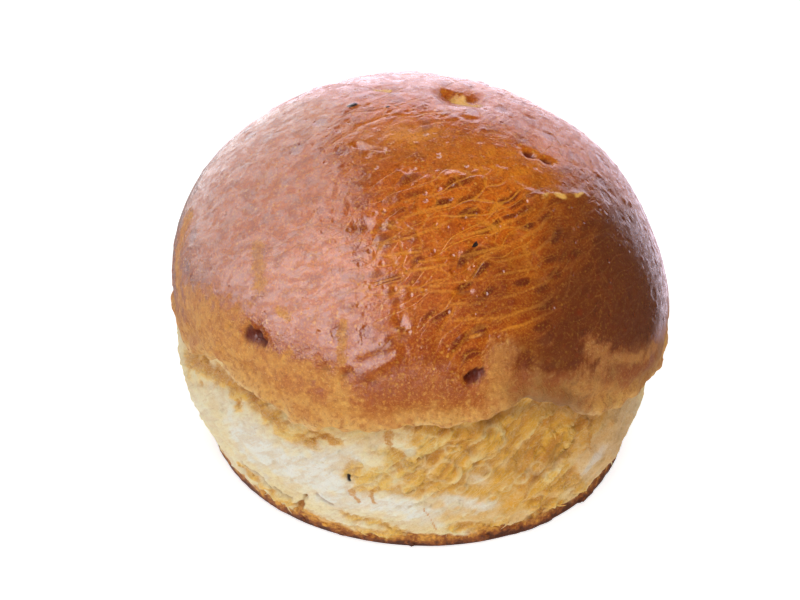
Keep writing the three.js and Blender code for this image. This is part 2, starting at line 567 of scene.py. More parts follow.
veins = [
    (0.35, 0.12, (378, 245), (410, 238), (436, 228), (476, 208)),
    (0.35, 0.12, (376, 215), (400, 203), (423, 195)),
    (0.35, 0.12, (400, 273), (430, 268), (456, 263)),
    (0.3, 0.1, (433, 286), (474, 280), (509, 273), (537, 268)),
    (0.3, 0.1, (436, 304), (471, 304), (512, 296), (546, 283), (562, 261), (572, 240), (567, 223)),
    (0.4, 0.12, (481, 132), (481, 170)),
    (0.5, 0.3, (535, 198), (548, 195), (561, 197), (585, 195)),
    (0.4, 0.1, (455, 320), (500, 318), (540, 305), (566, 284)),
    (0.38, 0.1, (470, 337), (520, 326), (560, 308), (583, 285)),
    (0.4, 0.1, (420, 262), (470, 255), (510, 245), (540, 228), (556, 205)),
    (0.38, 0.1, (440, 241), (480, 232), (515, 220), (540, 203)),
    (0.36, 0.1, (500, 262), (535, 252), (555, 235), (560, 210)),
    (0.36, 0.1, (390, 285), (430, 291), (470, 293)),
    (0.36, 0.08, (385, 256), (420, 252), (450, 243)),
    (0.36, 0.08, (372, 232), (395, 222), (420, 212), (450, 205)),
]
burntSpecks = [
    (0.7, 0.35, (350, 106), (354, 105)),
    (0.3, 0.2, (388, 107), (388, 108)),
    (0.25, 0.2, (397, 106), (397, 106)),
    (0.3, 0.1, (474, 245), (477, 243)),
]

# Flat marks: half width in mm, then the pixels.
frayedMarks = {
    "drip": [  # thin egg wash
        (1.5, (257, 248), (258, 268), (260, 288)),
        (0.9, (343, 322), (342, 362)),
        (0.9, (279, 311), (286, 316)),
    ],
    "bare": [  # no egg wash
        (2.7, (503, 352), (500, 368), (496, 392)),
        (2.2, (592, 348), (604, 354), (600, 372)),
        (3.2, (582, 385), (606, 394)),
        (1.6, (612, 358), (636, 358), (656, 346)),
        (4.2, (188, 304), (208, 312), (234, 328)),
        (3.0, (205, 322), (240, 347), (275, 362), (305, 373), (335, 382)),
        (2.6, (186, 222), (177, 262), (180, 300)),
    ],
    "yellow": [  # the skin is off
        (1.4, (457, 97), (474, 103)),
        (0.8, (376, 89), (388, 90)),
        (0.4, (541, 198), (547, 195)),
        (0.5, (555, 195), (563, 198)),
        (0.35, (575, 197), (581, 194)),
    ],
    "pale": [  # painted sheen: a lighter strip where the back light gleams at the top of the amber
        (2.4, (397, 134), (412, 137), (430, 131)),
    ],
}
softMarks = {
    "washed": [  # the wash runs lower
        (3.2, (526, 356), (548, 366), (574, 356)),
    ],
    "baked": [  # the edge is browner
        (5.5, (388, 396), (410, 402), (440, 402), (462, 398)),
        (5.5, (505, 372), (522, 386), (540, 386), (554, 386)),
        (3.5, (630, 368), (652, 352)),
    ],
    "calm": [  # no stretch lines
        (6.0, (372, 138), (460, 152), (540, 172)),
    ],
}


def sheetOnDisc(count):  # a square grid bent onto a disc: share of the way out, and bearing
    line = np.linspace(-1, 1, count + 1)
    u, v = np.meshgrid(line, line)
    wide = np.abs(u) > np.abs(v)
    out = np.where(wide, u, v)
    aside = np.where(wide, v, u)
    turn = math.pi / 4 * np.divide(aside, out, out=np.zeros_like(out), where=out != 0)
    bearing = np.where(wide, turn, math.pi / 2 - turn) + np.where(out < 0, math.pi, 0)
    return np.abs(out).ravel(), bearing.ravel()


def domeWays(share, bearing):  # directions from the heart, evenly spread from the top (0) to the edge (1)
    below = crust["heart"][2] - edgeHeight(bearing) - crust["edgeAbove"]
    widest = math.pi / 2 + np.arctan2(below, crustEdge["radius"])
    tilt = 2 * np.arcsin(share * np.sin(widest / 2))
    flat = np.sin(tilt)
    return np.stack([flat * np.cos(bearing), flat * np.sin(bearing), np.cos(tilt)], axis=1)


def domePoints(share, bearing, inset):
    ways = domeWays(share, bearing)
    return np.array(crust["heart"]) + ways * (reach(crust["heart"], ways) - inset)[:, None]


def evenOut(values, count, times):  # takes the solid's facets out of the sheet
    grid = values.reshape(count + 1, count + 1)
    for _ in range(times):
        inner = (grid[:-2, 1:-1] + grid[2:, 1:-1] + grid[1:-1, :-2] + grid[1:-1, 2:]) / 4
        grid[1:-1, 1:-1] = (grid[1:-1, 1:-1] + inner) / 2
    return grid.ravel()


def crustMesh():
    count = crust["squares"]
    share, bearing = sheetOnDisc(count)
    ways = domeWays(share, bearing)
    far = evenOut(reach(crust["heart"], ways), count, crust["evening"])
    points = [np.array(crust["heart"]) + ways * far[:, None]]
    index = np.arange((count + 1) ** 2).reshape(count + 1, count + 1)
    corners = [index[:-1, :-1], index[:-1, 1:], index[1:, 1:], index[1:, :-1]]
    faces = np.stack([c.ravel() for c in corners], axis=1).tolist()
    ring = np.concatenate([index[0, :-1], index[:-1, -1], index[-1, :0:-1], index[:0:-1, 0]])
    edge = points[0][ring]
    turn = np.arctan2(edge[:, 1], edge[:, 0])
    outward = np.stack([np.cos(turn), np.sin(turn), 0 * turn], axis=1)
    rows = [edge - outward * inward + np.array([0, 0, rise]) for inward, rise in crust["lip"]]
    rows += [domePoints(np.full(len(turn), s), turn, crust["thick"]) for s in crust["innerRows"]]
    last = ring
    total = len(points[0])
    for row in rows:
        points.append(row)
        fresh = total + np.arange(len(row))
        faces += stitch(last, fresh)
        last = fresh
        total += len(row)
    points.append(domePoints(np.zeros(1), np.zeros(1), crust["thick"]))
    faces += [(int(b), int(a), total) for a, b in zip(last, np.roll(last, -1))]
    outer = np.zeros(total + 1)
    outer[: len(points[0]) + crust["lipShown"] * len(ring)] = 1
    return makeMesh("crust", np.concatenate(points), faces), np.concatenate(points), outer


def stitch(above, below):  # quads between two rings that run the same way round
    rings = (np.roll(above, -1), above, below, np.roll(below, -1))
    return np.stack(rings, axis=1).tolist()


def veinCoordinates(points):
    bearing, tilt = (math.radians(a) for a in crust["veinAxis"])
    x, y, z = turned(points - np.array(crust["heart"]), -bearing).T
    c, s = math.cos(tilt), math.sin(tilt)
    along = np.stack([x * c - z * s, y, x * s + z * c], axis=1)
    for height, length, seeds in crust["veinBends"]:
        along = along + height * np.stack([waves(points, length, seed) for seed in seeds], axis=1)
    return along / np.array([crust["veinLong"], crust["veinLong"], crust["veinShort"]])


def markCrust(piece, points, outer):
    rise = points[:, 2] - edgeHeight(np.arctan2(points[:, 1], points[:, 0]))
    wobble = ripples(points, crust["markWobble"])
    fray = ripples(points, crust["markFray"])
    pitLift = markShares(points, pits, fray)[1]
    creaseLift = markShares(points, creases, wobble)[1]
    vein, veinLift = markShares(points, veins, crust["veinWobble"] * wobble)
    burnt, burntLift = markShares(points, burntSpecks, fray)
    lift = pitLift + creaseLift + veinLift + burntLift
    swell = crust["crestMean"] + ripples(points, crust["crestSwell"])
    over = rise + ripples(points, crust["crestWander"])
    for above, half, height in crust["crest"]:
        lift = lift + height * swell * np.exp(-(((over - above) / half) ** 2))
    nearEdge = np.exp(-np.maximum(rise, 0) / crust["raggedReach"])
    lift = lift + nearEdge * ripples(points, crust["ragged"])
    fields = {"rise": rise, "outer": outer, "pit": np.clip(-pitLift, 0, 1), "vein": vein, "burnt": burnt}
    fields["flow"] = veinCoordinates(points)
    for name in ("browned", "lively"):
        fields[name] = placeShares(points, crust[name])
    for name, marks in frayedMarks.items():
        fields[name] = nearMarks(points, marks, fray)
    for name, marks in softMarks.items():
        fields[name] = nearMarks(points, marks, wobble)
    store(piece.data, fields)
    pushOut(piece.data, points, lift * outer)


crustRelief = {
    "puffHeight": 0.14,
    "lineDepth": 0.08,
    "lumpHeight": 0.3,
    "bandHeight": 1.1,
    "blisterHeight": 0.2,
    "blisterSpacing": 2.6,
    "blisterLeast": 0.4,  # radius
    "blisterMost": 1.3,
    "blistersAtMost": 150000.0,  # to the square metre
    "blisterSeed": 7,
}


def stretchNet(start, flow):  # how near the lines of the skin are, a tone for each cell, and the long lines
    edge = start.cells(flow, 1.0, "DISTANCE_TO_EDGE")
    wider = start.vector("MULTIPLY", {0: flow, 1: crust["longLines"]})
    return edge, start.cellTone(flow, 1.0), start.cells(wider, 1.0, "DISTANCE_TO_EDGE")


def crustReliefTree(material):
    start, size = startTree("crustRelief", crustRelief)
    skin = size["Geometry"]
    inMm = placeInMm(start)
    outer = start.named("outer")
    flow = start.named("flow", "FLOAT_VECTOR")
    glazed = start.named("rise").step(6.0, 14.0) * outer

    # Cells puffed up between the stretch lines, and slow lumps.
    edge, tone, longEdge = stretchNet(start, flow)
    puff = edge.step(0.0, 0.35) * (0.2 + tone) * (1 - start.named("calm"))
    line = longEdge.step(0.08, 0.0)
    patchy = start.noise(inMm, 0.12, 1.0).step(0.25, 0.6)
    lump = start.noise(inMm, 0.07, 2.0) - 0.5

    # Blisters and dents: scattered points, each with its own size and height.
    spots = start.add("GeometryNodeDistributePointsOnFaces", {"distribute_method": "POISSON"}, {
        "Mesh": skin, "Distance Min": size["blisterSpacing"] * mm, "Density Max": size["blistersAtMost"],
        "Density Factor": glazed, "Seed": size["blisterSeed"],
    })
    nearest = start.add("GeometryNodeSampleNearest", {"domain": "POINT"}, {"Geometry": spots})
    spotPlace = start.add("GeometryNodeSampleIndex", {"data_type": "FLOAT_VECTOR"}, {
        "Geometry": spots, "Value": inMm, "Index": nearest,
    })
    girth = chance(start, size["blisterLeast"], size["blisterMost"], 0, nearest)
    height = chance(start, -1.0, 1.0, 3, nearest)
    apart = start.vector("DISTANCE", {0: inMm, 1: spotPlace}, out=1)
    blister = (apart / girth).step(1.0, 0.1) * outer

    lift = outer * (lump * size["lumpHeight"]) + blister * height * size["blisterHeight"]
    grainy = start.noise(inMm, 0.35, 3.0, 0.65) - 0.5
    lift = lift + (outer - glazed) * grainy * size["bandHeight"]
    lively = 0.55 + start.named("lively") * 0.45
    lift = lift + glazed * patchy * lively * (puff * size["puffHeight"] - line * size["lineDepth"])
    kept = keepField(skin, "blister", blister * height)
    endTree(liftAlong(kept, lift), material)
    return start.tree


crustFinish = {
    "wash": (5.5, 14.0),  # mm above the edge where the egg wash begins and is full
    "washRagged": (9.0, 5.0, 3.0),  # how far it wanders with the broad, patch and small noises
    "washedDrop": 7.0,  # it runs this much lower at the washed marks
    "fray": (0.4, 0.5, 0.4),  # how much patch, small and grain fray the outlines of marks
    "bare": (0.7, 1.4),  # roughness and IOR
    "washed": (0.15, 1.87),
    "roughSpread": 0.15,  # from grain to grain
    "bump": 0.7,
    "inside": (0.06, (1.0, 0.5, 0.25), 0.0015),  # light under the skin: share, radii and scale
    "noises": {  # scale to the mm, detail and roughness
        "broad": (0.09, 3.0, 0.55),
        "patch": (0.3, 3.0, 0.6),
        "small": (1.0, 2.0, 0.6),
        "grain": (2.4, 3.0, 0.7),
        "fine": (6.0, 2.0, 0.6),
    },
    "netShows": (0.13, 2.0),  # scale and detail of the places where the net shows
    "streaks": (1.5, 3.0, 0.6),  # dull streaks in the sheen, along the net
    "specks": (0.9, (0.34, 0.12), (0.55, 0.9)),  # cells to the mm, edge of a spot, and which cells have one
    "dents": (0.42, (0.26, 0.05), (0.3, 0.6)),
    "thinSpots": (0.2, (0.42, 0.2), (0.45, 0.7)),
    "bakingHeight": 30.0,  # the skin darkens from the edge up to here
    "bakingRagged": (8.0, 8.0),  # and wanders with broad and patch
    "bakedEdge": 0.17,  # share of that height that a browner edge is ahead
    "baking": [
        (0.0, (240, 200, 132)),
        (0.05, (228, 174, 92)),
        (0.12, (228, 167, 84)),
        (0.22, (217, 148, 60)),
        (0.33, (192, 98, 20)),
        (0.45, (182, 81, 6)),
        (1.0, (220, 105, 7)),
    ],
}
crustLayers = {  # laid over that, from the lowest up: strength and colour
    "thinWash": (0.7, (232, 166, 74)),
    "bakedEdge": (0.25, (142, 80, 30)),
    "darkPatch": (0.7, (154, 60, 3)),
    "darkBlotch": (0.55, (146, 54, 3)),
    "amberPatch": (0.3, (228, 134, 18)),
    # painted sheen over the top of the amber
    "smoothAmber": (1.0, (238, 146, 26)),
    "paintedSheenSkin": (0.8, (255, 162, 54)),
    "darkCell": (0.8, (116, 38, 5)),
    "vein": (0.62, (240, 154, 24)),
    # darker skin away from the lively places; over the left sheen this is painted shade
    "quietSkinAndShade": (0.36, (120, 52, 18)),
    "thinSpot": (0.65, (122, 44, 46)),
    # painted shade together with deeper baking, over the darker brown places and their veins
    "browned": (0.95, (98, 48, 22)),
    "shadedBrownVein": (0.25, (190, 120, 60)),
    "speck": (0.45, (246, 184, 66)),
    "lightGrain": (2.4, (244, 172, 46)),
    "darkGrain": (1.0, (130, 52, 10)),
    "mattePatch": (0.5, (196, 110, 32)),
    "matteBlotch": (0.65, (182, 96, 22)),
    "matteLight": (0.65, (246, 194, 96)),
    "matteGrain": (0.55, (255, 226, 152)),
    # the same painted shade and deeper baking on the matte band
    "matteBrownAndShade": (0.85, (132, 80, 42)),
    "skinOff": (0.85, (255, 202, 96)),
    "dent": (0.3, (150, 60, 14)),
    "blister": (0.4, (140, 52, 12)),
    # dark in the pits, darker the deeper they go: partly their own colour, partly painted shade in the
    # hollow
    "pit": (1.0, (116, 44, 18)),
    "burnt": (1.0, (46, 34, 28)),
}


def crustPattern(start):  # share of each colour, depth of baking, height of the bump, grain and gloss
    inMm = objectInMm(start)
    broad, patch, small, grain, fine = mottle(start, inMm, crustFinish["noises"])
    flow = start.reads("flow", "Vector")
    rise, calm, lively, browned = (start.reads(name) for name in ("rise", "calm", "lively", "browned"))

    # The egg wash ends raggedly above the edge, and thins out in drips and bare spots.
    fray = ragged((patch, small, grain), crustFinish["fray"])
    yellow = (start.reads("yellow") + fray * 0.7).step(0.15, 0.8)
    drip = (start.reads("drip") + fray).step(0.1, 0.75)
    bare = (start.reads("bare") + fray).step(0.0, 1.0)
    wash = rise + start.reads("washed") * crustFinish["washedDrop"]
    wash = wash + ragged((broad, patch, small), crustFinish["washRagged"])
    wash = wash.step(*crustFinish["wash"]) * (1 - bare) * (1 - drip.most(yellow) * 0.5)
    baked = (start.reads("baked") + fray * 1.5).step(0.0, 1.2)
    baked = baked * (rise + (small - 0.5) * 3).step(0.5, 4.5)
    matte = (1 - wash) * (1 - baked * 0.5)
    depth = (rise + ragged((broad, patch), crustFinish["bakingRagged"])) / crustFinish["bakingHeight"]
    depth = depth + baked * crustFinish["bakedEdge"]

    # Light stretch lines round darker, puffed cells.
    edge, tone, longEdge = stretchNet(start, flow)
    lined = (1 - calm) * (0.4 + lively * 0.75)
    showing = start.noise(inMm, *crustFinish["netShows"]).step(0.35, 0.6)
    net = edge.step(0.09, 0.015) * (0.12 + showing * 0.45)
    long = longEdge.step(0.04, 0.01) * (0.3 + broad.step(0.35, 0.6) * 0.7)
    high = rise.step(14.0, 26.0) * 0.65 + 0.35
    drawn = start.reads("vein").step(0.2, 0.8) * (0.3 + showing * 0.7)
    vein = (net.most(long) * high).most(drawn) * lined * (1 - browned * 0.5)
    dark = tone.step(0.24, 0.62) * start.cells(flow, 1.0).step(0.58, 0.24) * lined

    # Specks, dents, and smooth spots of thin skin where there are few lines.
    speck = start.spots(inMm, *crustFinish["specks"])
    dent = start.spots(inMm, *crustFinish["dents"]) * wash * (0.5 + lively * 0.5)
    thin = start.spots(inMm, *crustFinish["thinSpots"], (small - 0.5) * 0.2)
    thin = thin * (1 - lively) * (1 - calm) * wash

    plain = 1 - browned * 0.75
    light = small.step(0.46, 0.25).most(patch.step(0.46, 0.25) * 0.45)
    shares = {
        "thinWash": bare.most(drip),
        "bakedEdge": baked,
        "darkPatch": patch.step(0.46, 0.7) * wash,
        "darkBlotch": small.step(0.5, 0.7) * wash,
        "amberPatch": patch.step(0.48, 0.3) * lively * wash,
        "smoothAmber": (0.35 + patch.step(0.5, 0.36) * 0.4) * calm * wash,
        "paintedSheenSkin": (start.reads("pale") + fray).step(0.1, 1.0),
        "darkCell": dark * wash,
        "vein": vein * wash,
        "quietSkinAndShade": (1 - lively) * wash,
        "thinSpot": thin,
        "browned": browned * wash,
        "shadedBrownVein": vein * wash * browned,
        "speck": speck * plain,
        "lightGrain": (grain - 0.5) * plain,
        "darkGrain": (0.48 - grain) * (1.4 + wash * 1.8),
        "mattePatch": patch.step(0.46, 0.68) * matte,
        "matteBlotch": small.step(0.48, 0.7) * matte,
        "matteLight": light * matte,
        "matteGrain": grain.step(0.56, 0.7) * small.step(0.3, 0.6) * matte,
        "matteBrownAndShade": browned * matte * (1 - bare * 0.47),
        "skinOff": yellow,
        "dent": dent,
        "blister": start.reads("blister").step(0.1, 0.8) * wash,
        "pit": start.reads("pit").step(0.2, 1.0),
        "burnt": start.reads("burnt").step(0.2, 0.6),
    }

    # The bump breaks up the sheen, so the gloss is the skin's own and not a coat over it.
    height = ragged((small, grain, patch, fine), (0.8 - wash * 0.74, 0.7 - wash * 0.66, 0.15, 0.03))
    height = height - vein * 0.1 - dent * 0.4 - thin * 0.2
    streaks = start.noise(flow, *crustFinish["streaks"])
    even = (streaks * 0.6 + small * 0.4).step(0.43, 0.57)
    dull = (1 - even.most(thin)) * (1 - lively * 0.85)
    gloss = wash * (1 - dull * 0.5) * (1 - vein * 0.4)
    return shares, depth, height, grain, gloss


def crustMaterial():
    material, start = newMaterial("crust")
    shares, depth, height, grain, gloss = crustPattern(start)
    color = layered(ramp(depth, crustFinish["baking"]), shares, crustLayers)
    bump = bumped(height, crustFinish["bump"])
    skins = []
    for rough, ior in (crustFinish["bare"], crustFinish["washed"]):
        spread = (grain - 0.5) * crustFinish["roughSpread"] + rough
        skins.append(surface(color, bump, spread, crustFinish["inside"], ior))
    endMaterial(start.add("ShaderNodeMixShader", {}, {0: gloss, 1: skins[0], 2: skins[1]}))
    return material


# The crumb: rings of quads up the torn side of the solid, from the foot to a dome hidden under the crust.
crumb = {
    "around": 720,
    "floorShares": [0.2, 0.4, 0.6, 0.8, 0.92, 0.975],
    "footHeights": [0.3, 0.7, 1.1, 1.5, 1.9, 2.3, 2.7, 3.1],
    "sideFrom": 3.4,
    "sideRows": 84,
    "sideTo": 0.965,  # share of the height to the crust edge
    "tuckRows": [0.6, 1.2],  # from there it goes straight up, by these shares of what is left
    "hiddenRows": [0.98, 0.9, 0.7, 0.45, 0.2],
    "lap": 0.2,  # the hidden rows reach this far into the crust
    "rimHeight": 4.1,
    "rimRise": -0.2,  # added on the +X side
    "rimWaves": [(0.8, 6.0, 11), (0.6, 2.2, 12)],  # height and length in mm, seed
    "markWobble": [(0.3, 4.0, 22), (0.15, 1.8, 23)],  # waves in the outline of marks
    "hiddenTones": [(1.0, 18.0, 41), (0.5, 7.0, 42)],  # the hidden side is mottled by rule
    "hiddenStains": [(1.0, 9.0, 43)],
    "hiddenStrands": [(1.0, 40.0, 51)],
    "fibreSlant": 37.0,  # degrees of bearing from the foot of the torn side to its top
    "fibreLong": 7.0,
    "fibreShort": 1.3,
    "puffLong": 11.0,  # pillows of dough where it is pulled into strands
    "puffRound": 5.2,  # and where it isn't
    "puffShort": 4.4,
    "strandy": (-92.0, -62.0, -15.0, 10.0),  # bearings where the strands begin, are full, still are and end
    "toasted": [  # places painted a darker tan; at the right front this is painted shade on the side away from the key lamp
        ((38.0, -24.0, 20.0), 6.0, 13.0, 0.7),
        ((-22.0, 38.0, 18.0), 5.0, 12.0, 0.5),
    ],
    "warm": [  # and to a gold
        ((19.0, -41.0, 25.0), 14.0, 10.0, 1.0),
        ((29.0, -34.0, 14.0), 13.0, 11.0, 0.65),
        ((14.0, 42.0, 20.0), 10.0, 16.0, 0.5),
    ],
    "chips": (4.0, 15.0, -0.9, 0.3),  # broken rim: shortest and longest in degrees, least and most out in mm
    "chipSeed": 71,
    "bubbleWander": [(0.12, 5.0, 52)],  # share of the radius, length in mm, seed
    "bubbleFill": 0.6,  # height inside a ring, as a share of the ring's
    "hiddenBubbles": 46,
    "hiddenBubbleSeed": 61,
    "hiddenBubbleSizes": ((0.8, 3.2), 0.3, 0.4),  # radii, half width and height
    "hiddenBubbleHeights": (6.0, 22.0),
    "hiddenBubbleMargin": 0.1,  # radians from either end of the hidden half
}

# Raised marks of the torn side, and then the flat ones, given in the same way.
folds = [
    (1.0, 1.5, (571, 412), (558, 436), (541, 466), (513, 503)),
    (0.8, 1.2, (579, 428), (562, 446), (548, 462)),
    (0.8, 0.9, (587, 420), (582, 450)),
    (0.9, 1.1, (400, 426), (430, 430), (458, 434), (472, 431), (482, 423)),
    (0.6, 0.8, (550, 420), (528, 462), (508, 482)),
    (0.6, 0.8, (566, 452), (546, 488), (536, 506)),
    (0.7, 0.7, (590, 452), (572, 486)),
    (0.9, 0.7, (205, 362), (235, 382), (262, 405), (290, 427)),
    (2.0, 0.9, (340, 437), (400, 441), (476, 433)),
    (3.0, 0.9, (476, 440), (492, 446)),
    (2.4, 0.7, (370, 455), (380, 462)),
    (3.4, 0.7, (404, 460), (408, 486)),
    (2.6, 0.6, (445, 470), (452, 482)),
    (4.0, 0.8, (602, 432), (612, 452)),
    (2.2, 0.7, (303, 512), (324, 518)),
    (1.3, 0.6, (240, 466), (272, 490), (292, 502)),
    (1.6, 0.6, (335, 515), (390, 532)),
    (1.5, 0.3, (588, 494), (604, 474), (620, 450)),
    (1.4, 0.4, (520, 531), (548, 518)),
    (1.3, 0.5, (408, 546), (432, 547)),
    (1.3, 0.4, (232, 462), (262, 492)),
]
cracks = [
    (0.45, -0.9, (297, 511), (300, 504), (306, 497)),
    (0.35, -0.5, (316, 495), (322, 500), (331, 505)),
    (0.35, -0.5, (243, 463), (251, 471), (258, 475), (272, 487)),
    (0.35, -0.4, (275, 487), (283, 494), (291, 497)),
    (0.8, -2.4, (485, 420), (500, 419)),
    (0.5, -0.9, (348, 477), (349, 481)),
    (1.0, -0.7, (556, 446), (530, 482)),
    (0.8, -0.6, (572, 440), (552, 468)),
]
crumbMarks = {
    "gold": [
        (2.9, (188, 360), (205, 366), (222, 378), (250, 397), (282, 426), (304, 437)),
        (1.3, (345, 514), (375, 523), (402, 531)),
        (2.0, (232, 392), (238, 404)),
        (2.6, (254, 400), (282, 424)),
        (1.7, (284, 426), (308, 442)),
        (1.5, (316, 433), (338, 442)),
        (3.2, (356, 474), (384, 476)),
        (1.8, (362, 489), (384, 490)),
        (3.8, (395, 455), (415, 470), (412, 482)),
        (4.0, (425, 455), (470, 445)),
        (4.4, (440, 476), (496, 462)),
        (6.0, (505, 420), (552, 416)),
        (5.0, (520, 455), (560, 440)),
        (3.5, (560, 425), (600, 420)),
        (3.0, (428, 440), (470, 441)),
        (2.0, (392, 426), (430, 430), (462, 431)),
        (2.4, (536, 500), (552, 512)),
        (1.6, (574, 478), (584, 494)),
        (2.5, (520, 470), (548, 486)),
        (2.8, (552, 472), (572, 484)),
        (1.6, (456, 528), (500, 524)),
        (1.8, (299, 510), (397, 533)),
        (1.2, (240, 464), (292, 502)),
    ],
    # brown stains; the lines along the folds on the right and the mark under the lifted crust corner are
    # painted shadow
    "stain": [
        (1.2, (191, 360), (202, 364)),
        (1.2, (218, 374), (230, 381)),
        (1.5, (226, 380), (246, 385)),
        (1.0, (246, 386), (238, 404)),
        (1.2, (256, 400), (264, 414)),
        (1.3, (318, 434), (336, 443)),
        (1.4, (205, 365), (222, 376)),
        (1.5, (264, 410), (284, 424)),
        (1.2, (296, 434), (312, 440)),
        (1.1, (388, 431), (393, 447)),
        (1.0, (462, 438), (468, 447)),
        (0.7, (352, 492), (357, 502)),
        (0.7, (371, 490), (373, 503)),
        (0.7, (514, 506), (548, 486)),
        (0.8, (572, 418), (590, 448)),
        (0.6, (545, 470), (520, 487)),
        (0.35, (297, 511), (306, 497)),
        (0.9, (483, 418), (500, 419)),
        (0.22, (424, 509), (431, 520), (438, 534)),
        (0.5, (583, 420), (588, 438), (580, 452)),
        (0.5, (556, 434), (538, 466), (522, 494)),
        (0.4, (574, 446), (552, 478)),
        (0.5, (578, 474), (572, 492)),
        (0.45, (432, 462), (440, 456)),
        (0.5, (416, 484), (424, 490)),
        (0.4, (520, 436), (506, 452)),
    ],
    "dusk": [  # in the shade of the crust
        (2.0, (493, 417), (508, 410), (530, 406), (560, 408)),
        (1.4, (560, 410), (584, 414)),
        (0.8, (572, 424), (588, 440)),
    ],
    "white": [
        (6.5, (250, 445), (335, 480)),
        (3.6, (332, 500), (352, 496), (394, 506)),
        (2.8, (318, 456), (350, 458)),
        (2.4, (452, 500), (488, 509)),
        (1.8, (470, 475), (482, 480)),
        (1.5, (548, 476), (556, 470)),
        (3.8, (390, 503), (426, 515)),
        (1.8, (600, 450), (586, 470)),
    ],
}
blackSpots = [
    (0.5, (348, 477), (349, 481)),
]
bubbles = [  # rings of thin skin: radius, half width and height in mm, then the pixel in the middle
    (2.6, 0.35, 0.5, (376, 458)),
    (1.1, 0.25, 0.3, (381, 454)),
    (0.8, 0.2, 0.3, (373, 460)),
    (3.7, 0.4, 0.5, (487, 442)),
    (2.7, 0.35, 0.4, (444, 470)),
    (2.3, 0.3, 0.4, (478, 474)),
    (1.5, 0.3, 0.4, (551, 474)),
    (1.9, 0.3, 0.4, (317, 442)),
    (1.4, 0.3, 0.3, (410, 487)),
    (2.2, 0.3, 0.4, (415, 462)),
    (1.6, 0.3, 0.3, (430, 498)),
    (1.2, 0.3, 0.4, (455, 506)),
    (0.9, 0.25, 0.4, (468, 514)),
    (1.4, 0.3, 0.4, (492, 499)),
    (1.0, 0.25, 0.4, (506, 488)),
    (1.3, 0.3, 0.4, (521, 478)),
    (0.9, 0.25, 0.4, (443, 518)),
    (1.2, 0.3, 0.4, (461, 489)),
    (1.1, 0.25, 0.4, (499, 518)),
    (1.0, 0.25, 0.4, (420, 506)),
    (1.2, 0.3, 0.4, (536, 466)),
    (0.9, 0.25, 0.4, (392, 470)),
    (1.3, 0.3, 0.4, (452, 447)),
]


def straightUp(heights):
    return np.stack([0 * heights, 0 * heights, heights], axis=1)


def crumbMesh():
    turn = np.arange(crumb["around"]) * 2 * math.pi / crumb["around"]
    outward = np.stack([np.cos(turn), np.sin(turn), 0 * turn], axis=1)
    crease = edgeHeight(turn) - crustEdge["ledge"]

    def ringAt(heights):
        radius = np.array([reach((0, 0, z), [way])[0] for z, way in zip(heights, outward)])
        return outward * radius[:, None] + straightUp(heights)

    lowest = ringAt(np.full(len(turn), crumb["footHeights"][0]))
    rows = [lowest * np.array([share, share, 0]) for share in crumb["floorShares"]]
    rows += [ringAt(np.full(len(turn), z)) for z in crumb["footHeights"]]
    levels = np.linspace(0, crumb["sideTo"], crumb["sideRows"])
    rows += [ringAt(crumb["sideFrom"] + level * (crease - crumb["sideFrom"])) for level in levels]
    last = rows[-1]
    rows += [last + straightUp(share * (crease - last[:, 2])) for share in crumb["tuckRows"]]
    sideEnd = len(rows)
    inset = crust["thick"] - crumb["lap"]
    rows += [domePoints(np.full(len(turn), share), turn, inset) for share in crumb["hiddenRows"]]
    top = domePoints(np.zeros(1), np.zeros(1), inset)
    points = np.concatenate([np.zeros((1, 3)), *rows, top])
    rings = [1 + i * len(turn) + np.arange(len(turn)) for i in range(len(rows))]
    faces = [(0, int(b), int(a)) for a, b in zip(rings[0], np.roll(rings[0], -1))]
    for below, above in zip(rings, rings[1:]):
        faces += stitch(above, below)
    faces += [(int(a), int(b), len(points) - 1) for a, b in zip(rings[-1], np.roll(rings[-1], -1))]
    shown = np.zeros(len(points))
    shown[rings[len(crumb["floorShares"]) - 1][0]: rings[sideEnd - 1][-1] + 1] = 1
    return makeMesh("crumb", points, faces), points, shown


def stretched(points, short, long):  # places on the torn side in units that follow its slanted pull
    slanted = turned(points, -math.radians(crumb["fibreSlant"]) * points[:, 2] / crustEdge["height"])
    return np.stack([slanted[:, 0] / short, slanted[:, 1] / short, slanted[:, 2] / long], axis=1)


def rimChips(bearing):  # how far out the rim stands, in steps
    least, most, low, high = crumb["chips"]
    draw = np.random.default_rng(crumb["chipSeed"])
    ends = np.cumsum(draw.uniform(least, most, int(360 / least)))
    out = draw.uniform(low, high, len(ends) + 1)
    turn = np.degrees(bearing) % 360
    return out[np.searchsorted(ends, turn)]


def bubbleShares(points):  # nearness to the rings, and their height; the hidden side has some by chance
    rings = [(r, half, lift, seenPoints([pixel])[0]) for r, half, lift, pixel in bubbles]
    draw = np.random.default_rng(crumb["hiddenBubbleSeed"])
    margin = crumb["hiddenBubbleMargin"]
    radii, hiddenHalf, hiddenLift = crumb["hiddenBubbleSizes"]
    for _ in range(crumb["hiddenBubbles"]):
        turn = draw.uniform(margin, math.pi - margin)
        way = np.array([math.cos(turn), math.sin(turn), 0.0])
        height = draw.uniform(*crumb["hiddenBubbleHeights"])
        radius = draw.uniform(*radii)
        place = np.array([0.0, 0.0, height]) + way * reach((0, 0, height), [way])[0]
        rings.append((radius, hiddenHalf, hiddenLift, place))
    near = np.zeros(len(points))
    lift = np.zeros(len(points))
    wander = 1 + ripples(points, crumb["bubbleWander"])
    for radius, half, height, place in rings:
        far = np.linalg.norm(points - place, axis=1) * wander
        share = np.exp(-(((far - radius) / half) ** 2))
        inside = 1 - smooth(far, 0.5 * radius, radius)
        near = np.maximum(near, share)
        lift = np.maximum(lift, height * (share + crumb["bubbleFill"] * inside))
    return near, lift


